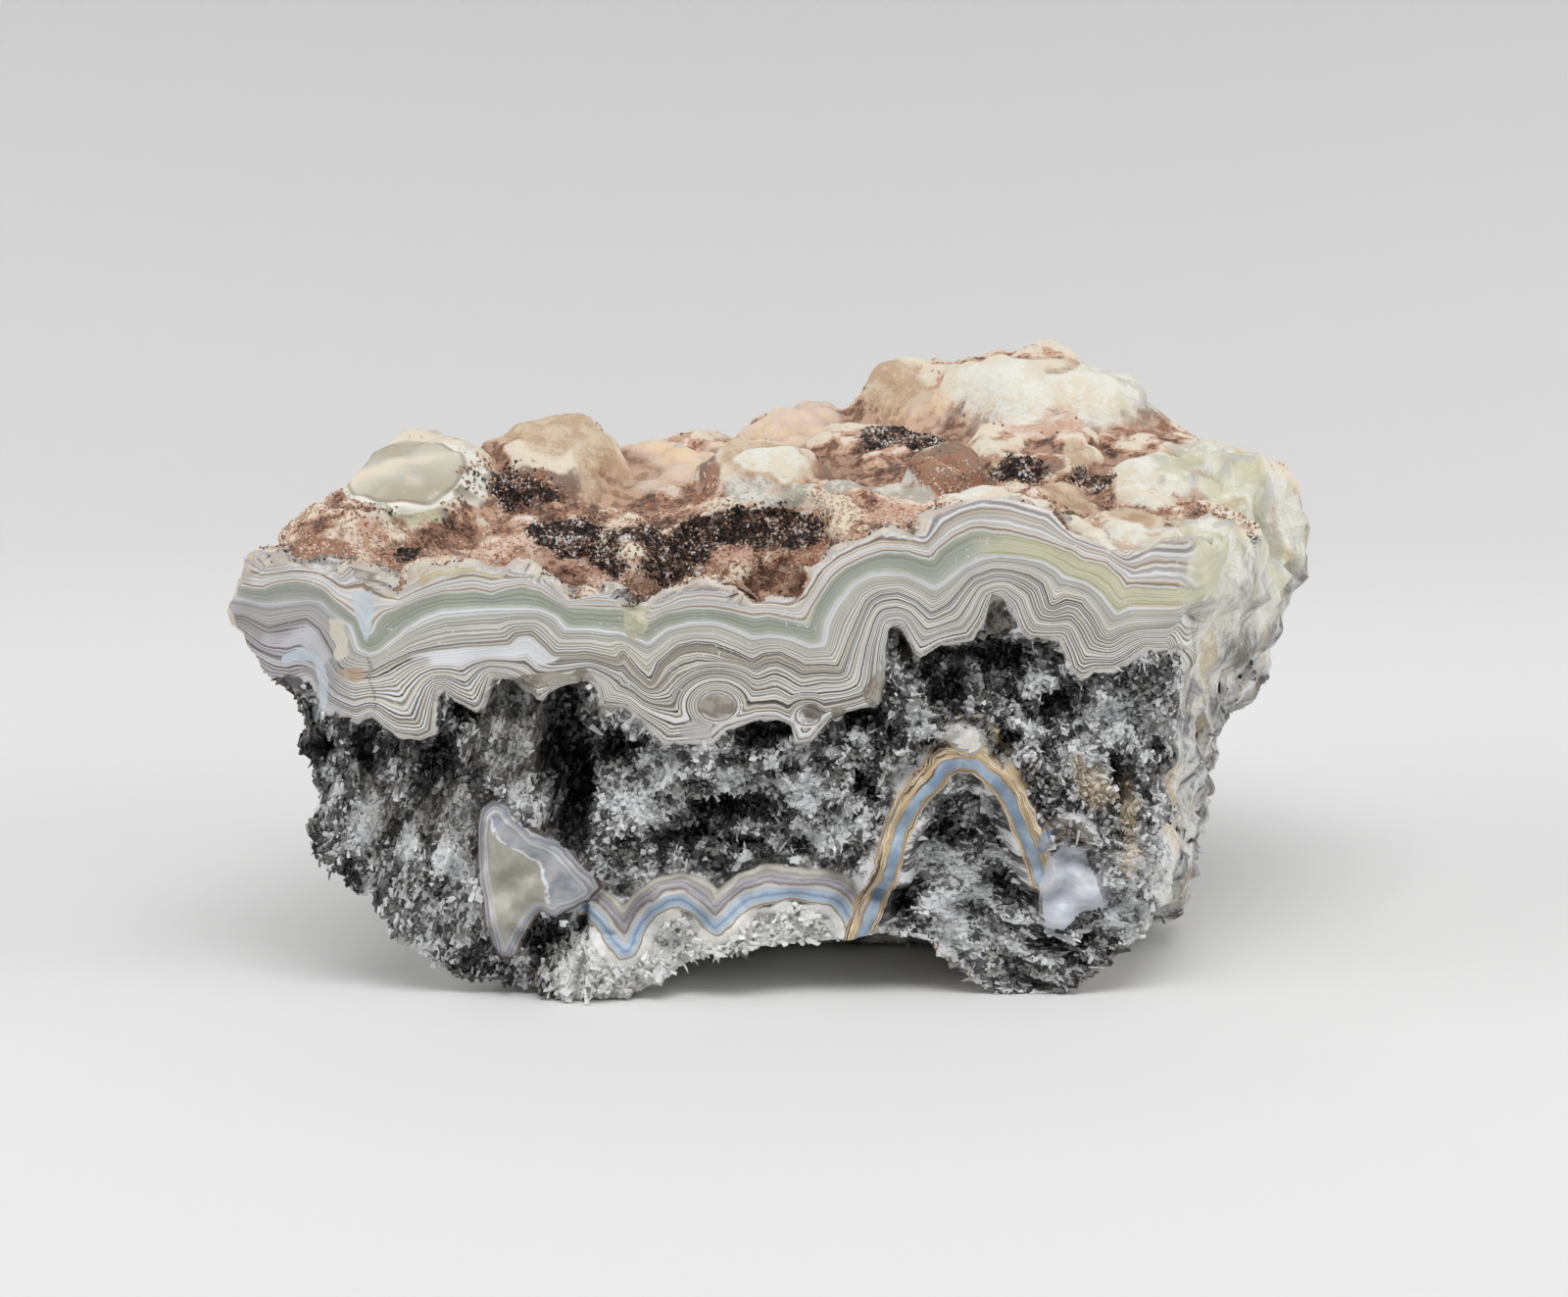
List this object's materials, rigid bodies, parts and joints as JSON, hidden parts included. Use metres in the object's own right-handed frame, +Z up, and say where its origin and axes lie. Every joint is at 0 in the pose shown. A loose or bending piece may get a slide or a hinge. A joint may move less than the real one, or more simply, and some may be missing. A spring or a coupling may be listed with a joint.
{
  "type": "rough lace agate stone",
  "caption": "Rough broken chunk of banded agate on dark crystalline rock, with a scalloped banded rind, a domed brown crust and two feet to rest on.",
  "frame": {"origin": "middle of the bounding box, on the surface that the stone rests on", "axes": "+X along the stone's length, towards its tall end; -Y out of the banded broken face; +Z up"},
  "size_m": [0.1239, 0.0802, 0.0659],
  "materials": {
    "agate": "broken stone: waxy pale bands, glittering dark crystal, dull brown crust"
  },
  "bodies": {
    "root": {"agate_stone": "agate"}
  },
  "joints": []
}
